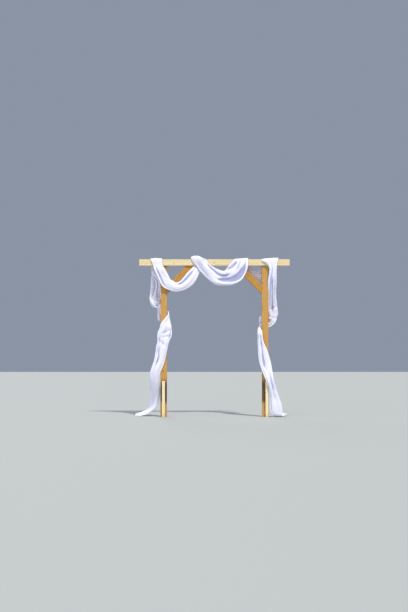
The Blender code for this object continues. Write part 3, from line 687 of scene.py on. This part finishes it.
# The folds that run along it: how far along the cloth in metres, where across its seen side
# from -1 to 1, how deep and how broad.
long_folds = [
    ((2.86, 2.96, 3.08, 3.17, 3.24), (0.62, 0.58, 0.60, 0.70, 0.90), 1.3, 0.24),
    ((2.90, 3.02, 3.20), (-0.05, -0.15, -0.20), 0.5, 0.45),
    ((3.28, 3.38, 3.50, 3.72), (-0.62, -0.52, -0.48, -0.40), 1.5, 0.22),
    ((4.08, 4.21, 4.33, 4.44), (0.60, 0.62, 0.70, 0.85), 0.9, 0.42),
    ((4.18, 4.28, 4.36, 4.42, 4.48, 4.57, 4.69), (-0.90, -0.76, -0.60, -0.47, -0.38, -0.30, -0.24),
     2.0, 0.18),
    ((4.44, 4.52, 4.57, 4.65, 4.74, 4.84, 4.94), (0.20, 0.23, 0.28, 0.38, 0.46, 0.54, 0.62), 2.4, 0.26),
    ((4.58, 4.66, 4.76, 4.92), (0.48, 0.56, 0.64, 0.72), 1.7, 0.23),
    ((4.58, 4.67, 4.76, 4.96), (-0.90, -0.82, -0.70, -0.55), 1.4, 0.20),
    ((4.72, 4.83, 4.94, 5.08), (-0.05, -0.10, -0.15, -0.20), 0.9, 0.15),
    ((4.68, 4.80, 4.92, 5.04), (0.80, 0.72, 0.60, 0.50), 0.8, 0.14),
    ((1.26, 1.36, 1.50), (0.70, 0.78, 0.72), 1.1, 0.16),
    ((0.86, 1.00, 1.14, 1.24), (-0.55, -0.35, -0.45, -0.20), 1.0, 0.20),
    ((1.02, 1.14, 1.26, 1.38), (-0.80, -0.76, -0.70, -0.66), 0.6, 0.34),
    ((1.30, 1.40, 1.54), (-0.40, -0.10, 0.10), 0.7, 0.30),
    ((2.04, 2.16, 2.36, 2.52), (0.45, 0.30, 0.25, 0.20), 1.0, 0.20),
    ((2.08, 2.20, 2.46), (-0.60, -0.45, -0.35), 0.9, 0.16),
    ((6.02, 6.28, 6.52, 6.66), (0.50, 0.45, 0.55, 0.70), 0.9, 0.18),
    ((6.12, 6.32, 6.52, 6.70), (-0.15, -0.05, -0.10, 0.10), 1.0, 0.22),
    ((6.26, 6.42, 6.62), (-0.62, -0.55, -0.65), 0.9, 0.15),
    ((7.22, 7.32, 7.40, 7.50, 7.74), (-0.40, -0.20, -0.03, 0.20, 0.45), 1.2, 0.20),
    ((7.42, 7.54, 7.78, 8.02), (-0.50, 0.05, 0.22, 0.16), 0.6, 0.19),
    ((7.68, 7.84, 8.10), (-0.72, -0.56, -0.50), 0.7, 0.34),
    ((8.00, 8.18, 8.40), (0.88, 0.84, 0.82), 0.9, 0.16),
    ((8.04, 8.18, 8.42), (-0.24, -0.18, -0.12), 0.30, 0.26),
]
fade_length = 0.11
sharpness = 1.4
around = (turn + math.pi) % (2 * math.pi) - math.pi
folds = 0 * turn
for places, shares, deep, broad in long_folds:
    ridge = through(np.array(places), np.arcsin(shares)[:, None], np.clip(along, places[0], places[-1]))
    fade = np.clip(np.minimum(s - places[0], places[-1] - s) / fade_length, 0, 1)
    broad = broad * (0.45 + 0.55 * fade)
    eased = deep * fade * fade * (3 - 2 * fade)
    folds += eased * np.exp(-np.abs((around - ridge) / broad) ** sharpness)

# The folds that run across it, where it is pulled round a post: where along it in metres,
# how far they slant, how deep, how broad, and where across they are strongest.
cross_folds = [
    (1.235, -0.050, 0.6, 0.022, -0.4),
    (1.330, 0.045, 0.6, 0.020, 0.2),
    (1.400, 0.070, 0.6, 0.020, 0.4),
    (2.020, 0.014, 0.9, 0.017, -0.1),
    (2.100, -0.030, 0.6, 0.013, 0.6),
    (3.170, 0.050, 0.4, 0.022, 0.6),
    (6.600, 0.030, 0.45, 0.016, -0.4),
    (6.730, -0.030, 0.45, 0.014, 0.1),
    (6.980, 0.030, 0.6, 0.016, 0.2),
]
for place, slant, deep, broad, strongest in cross_folds:
    off_line = (s - place - slant * np.sin(around)) / broad
    near = np.clip(np.cos(around - strongest), 0, 1) ** 1.5
    folds += deep * np.exp(-np.abs(off_line) ** sharpness) * near

# The section of each row before it is folded: a flat oval, with the flap inside it
base_x = width / 2 * np.sin(turn + seam) / np.sin(np.minimum(curl, math.pi / 2))
base_y = thick / 2 * (2 * (np.cos(turn + seam) - np.cos(curl)) / (1 - np.cos(curl)) - 1)
flap_narrower, flap_flatter = 0.30, 0.72
base_x, base_y = base_x * (1 - flap_narrower * tucked), base_y * (1 - flap_flatter * tucked)
run_x, run_y = np.gradient(base_x, axis=1), np.gradient(base_y, axis=1)
size = np.hypot(run_x, run_y)
run_x, run_y = run_x / size, run_y / size

# Gathers and folds move a point down into the section, and gathers also lean it over. None
# goes deeper than the cloth is thick there, so none comes out at the other side.
deepest_share, deepest = 0.42, 0.026
depth = np.minimum(deepest_share * thick, deepest)
down = depth * ((groove + 0.16 * swell) * (1 - tucked) + folds * (1 - 0.35 * tucked))
room = thick * np.maximum(np.abs(np.cos(turn)), 0.12) * (0.475 + 0.125 * np.tanh(4 * np.cos(around)))
down = room * np.tanh(down / room)
over = depth * groove * (1 - tucked) * lean
x, y = base_x + over * run_x + down * run_y, base_y + over * run_y - down * run_x

# Small creases all over
crease_height, crease_rise = 0.0022, 0.0010
creases = np.abs(wander(6, 0.34, 0.16)) + 0.6 * np.abs(wander(7, 0.15, 0.09))
y = y - (crease_height * creases - crease_rise) * np.sqrt(thick / loose)

# The flap stays between the front and the back of the outer turn
layer_gap = 0.002
facing = np.cos(turn + seam)
clearance = layer_gap * np.clip(4 * tucked[0, outer_columns:], 0, 1)
for row in np.flatnonzero(curl[:, 0] > rolled_curl):
    flap_x, flap_y = x[row, outer_columns:], y[row, outer_columns:]
    limits = []
    for side in (1, -1):
        face = np.flatnonzero(side * facing[row, :outer_columns] > 0.04)
        face = face[np.argsort(x[row, face])]
        limits.append(np.interp(flap_x, x[row, face], y[row, face]) - side * clearance)
    front, back = limits
    halfway = (front + back) / 2
    y[row, outer_columns:] = np.clip(flap_y, np.minimum(back, halfway), np.maximum(front, halfway))

# The grid's places in the flat cloth, and where its points lie on the arch
steps_across = np.hypot(np.diff(x, axis=1), np.diff(y, axis=1))
flat_x = np.concatenate([0 * s, np.cumsum(steps_across, axis=1)], axis=1)
points = middle[:, None, :] + across[:, None, :] * x[..., None] + outward[:, None, :] * y[..., None]


def clear_of_box(points, low, high, margin):
    """Moves what lies inside a squared timber out through its nearest face."""
    low, high = np.array(low) - margin, np.array(high) + margin
    inside = np.all((points > low) & (points < high), axis=-1)
    found = points[inside]
    depths = np.concatenate([found - low, high - found], axis=1)
    nearest = depths.argmin(axis=1)
    axis = nearest % 3
    found[np.arange(len(found)), axis] = np.where(nearest < 3, low[axis], high[axis])
    points[inside] = found


def clear_of_brace(points, node, side, margin):
    """Moves what lies inside a brace out through its lower face, or its front or back."""
    low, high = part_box(node)
    outer = (high.x - low.x) / math.sqrt(2)
    inner = outer - (high.y - low.y)
    from_post = side * (points[..., 0] - (low.x if side > 0 else high.x))
    down = (from_post + high.z - points[..., 2]) / math.sqrt(2)
    sideways = half_post + margin - np.abs(points[..., 1])
    below = outer + margin - down
    inside = ((down > inner - margin) & (below > 0) & (sideways > 0)
              & (points[..., 2] < high.z) & (from_post > 0))
    by_side = inside & (sideways < below)
    points[..., 1] += np.where(by_side, np.where(points[..., 1] < 0, -sideways, sideways), 0)
    move = np.where(inside & ~by_side, below, 0) / math.sqrt(2)
    points[..., 0] += side * move
    points[..., 2] -= move


# The cloth lies on the timber and on the ground, not in them
stand_off = 0.0025
ground_gap = 0.0022
for node in ("top_beam", "left_post", "right_post", "left_stake", "right_stake"):
    clear_of_box(points, *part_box(node), stand_off)
clear_of_brace(points, "left_brace", 1, stand_off)
clear_of_brace(points, "right_brace", -1, stand_off)
points[..., 2] = np.maximum(points[..., 2], ground_gap)

bpy.ops.mesh.primitive_grid_add(x_subdivisions=columns - 1, y_subdivisions=rows - 1, size=1)
cloth = bpy.context.object
cloth.name = "draped_cloth"
cloth.data.vertices.foreach_set("co", points.reshape(-1))
cloth.data.update()
flat_places = np.stack([flat_x / flat_x[:, -1:] * cloth_width, s + 0 * u], axis=-1).reshape(-1, 2)
corner_ids = np.zeros(len(cloth.data.loops), int)
cloth.data.loops.foreach_get("vertex_index", corner_ids)
cloth.data.uv_layers.active.uv.foreach_set("vector", flat_places[corner_ids].reshape(-1))
# How high each point lies on a crest. The voile paints shade into the low places from this.
crest_height = np.clip(1 - 0.8 * groove - 0.75 * folds, 0, 1)
crest_values = cloth.data.attributes.new("crest", "FLOAT", "POINT")
crest_values.data.foreach_set("value", crest_height.reshape(-1))
bpy.ops.object.shade_smooth()

# White voile, with painted lavender shade down in its folds, and its weave and small creases as relief
yarn = 0.00075
wave_period = 0.314
# The first colour is painted shade for the folds and grooves.
painted_fold_shade, on_crest, between_yarns = (0.355, 0.355, 0.555, 1), (0.82, 0.80, 0.895, 1), (0.60, 0.60, 0.70, 1)
voile = bpy.data.materials.new("white voile")
voile.use_nodes = True
voile_tree = voile.node_tree
voile_shader = voile_tree.nodes["Principled BSDF"]
voile_flat = voile_tree.nodes.new("ShaderNodeUVMap").outputs["UV"]
crest = add_step(voile_tree, "Attribute", {}, out=2, attribute_name="crest")
threads = {"Vector": voile_flat, "Scale": wave_period / yarn, "Distortion": 1.2}
warp = add_step(voile_tree, "TexWave", threads, out=1, bands_direction="X")
weft = add_step(voile_tree, "TexWave", threads, out=1, bands_direction="Y")
weave = sums(voile_tree, "MULTIPLY", warp, weft)
crease = cloudy(voile_tree, voile_flat, scale=42.0, detail=4.0, rough=0.6, stretch=(1, 0.30, 1))
# Painted shade: the deeper a point lies in a fold or groove, the more it takes the darker lavender grey.
shade = tint(voile_tree, spread(voile_tree, crest, 0.05, 0.75), painted_fold_shade, on_crest)
shade = tint(voile_tree, spread(voile_tree, weave, 0.2, 0.9, 0.10, 0.0), shade, between_yarns)
voile_tree.links.new(shade, voile_shader.inputs["Base Color"])
voile_shader.inputs["Roughness"].default_value = 0.72
voile_shader.inputs["Sheen Weight"].default_value = 0.25
voile_shader.inputs["Sheen Roughness"].default_value = 0.4
relief = sums(voile_tree, "MULTIPLY_ADD", weave, 0.12, crease)
voile_bump = voile_tree.nodes.new("ShaderNodeBump")
voile_bump.inputs["Strength"].default_value = 0.5
voile_bump.inputs["Distance"].default_value = 0.0025
voile_tree.links.new(relief, voile_bump.inputs["Height"])
voile_tree.links.new(voile_bump.outputs["Normal"], voile_shader.inputs["Normal"])
cloth.data.materials.append(voile)

# The hems.
# The cloth's edge is rolled narrow and sewn with white thread, along both long edges and
# across both ends.
hem_radius = 0.0016
hem_shade, hem_light = (0.78, 0.78, 0.86, 1), (0.92, 0.92, 0.95, 1)
rim = np.concatenate([points[:, 0], points[-1, 1:], points[-2::-1, -1], points[0, -2:0:-1]])
bpy.ops.object.select_all(action="DESELECT")
hem_line = bpy.data.curves.new("cloth_edge_hem", "CURVE")
hem_line.dimensions = "3D"
hem_line.bevel_depth = hem_radius
hem_line.bevel_resolution = 1
stitched = hem_line.splines.new("POLY")
stitched.points.add(len(rim) - 1)
stitched.points.foreach_set("co", np.column_stack([rim, np.ones(len(rim))]).reshape(-1))
stitched.use_cyclic_u = True
hem = bpy.data.objects.new("cloth_edge_hem", hem_line)
bpy.context.scene.collection.objects.link(hem)
hem.select_set(True)
bpy.context.view_layer.objects.active = hem
bpy.ops.object.convert(target="MESH")
hem = bpy.context.object
bpy.ops.object.shade_smooth()
hem_thread = bpy.data.materials.new("white hem")
hem_thread.use_nodes = True
hem_tree = hem_thread.node_tree
hem_shader = hem_tree.nodes["Principled BSDF"]
hem_place = hem_tree.nodes.new("ShaderNodeTexCoord").outputs["Object"]
hem_spots = cloudy(hem_tree, hem_place, scale=420.0, detail=2.0)
hem_colour = tint(hem_tree, hem_spots, hem_shade, hem_light)
hem_tree.links.new(hem_colour, hem_shader.inputs["Base Color"])
hem_shader.inputs["Roughness"].default_value = 0.75
hem.data.materials.append(hem_thread)
bpy.ops.object.select_all(action="DESELECT")

for piece in (cloth, hem):
    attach(piece, "root")
cloth_nodes = sorted(name for name in nodes if "cloth" in name or "swag" in name)
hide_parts(*cloth_nodes)
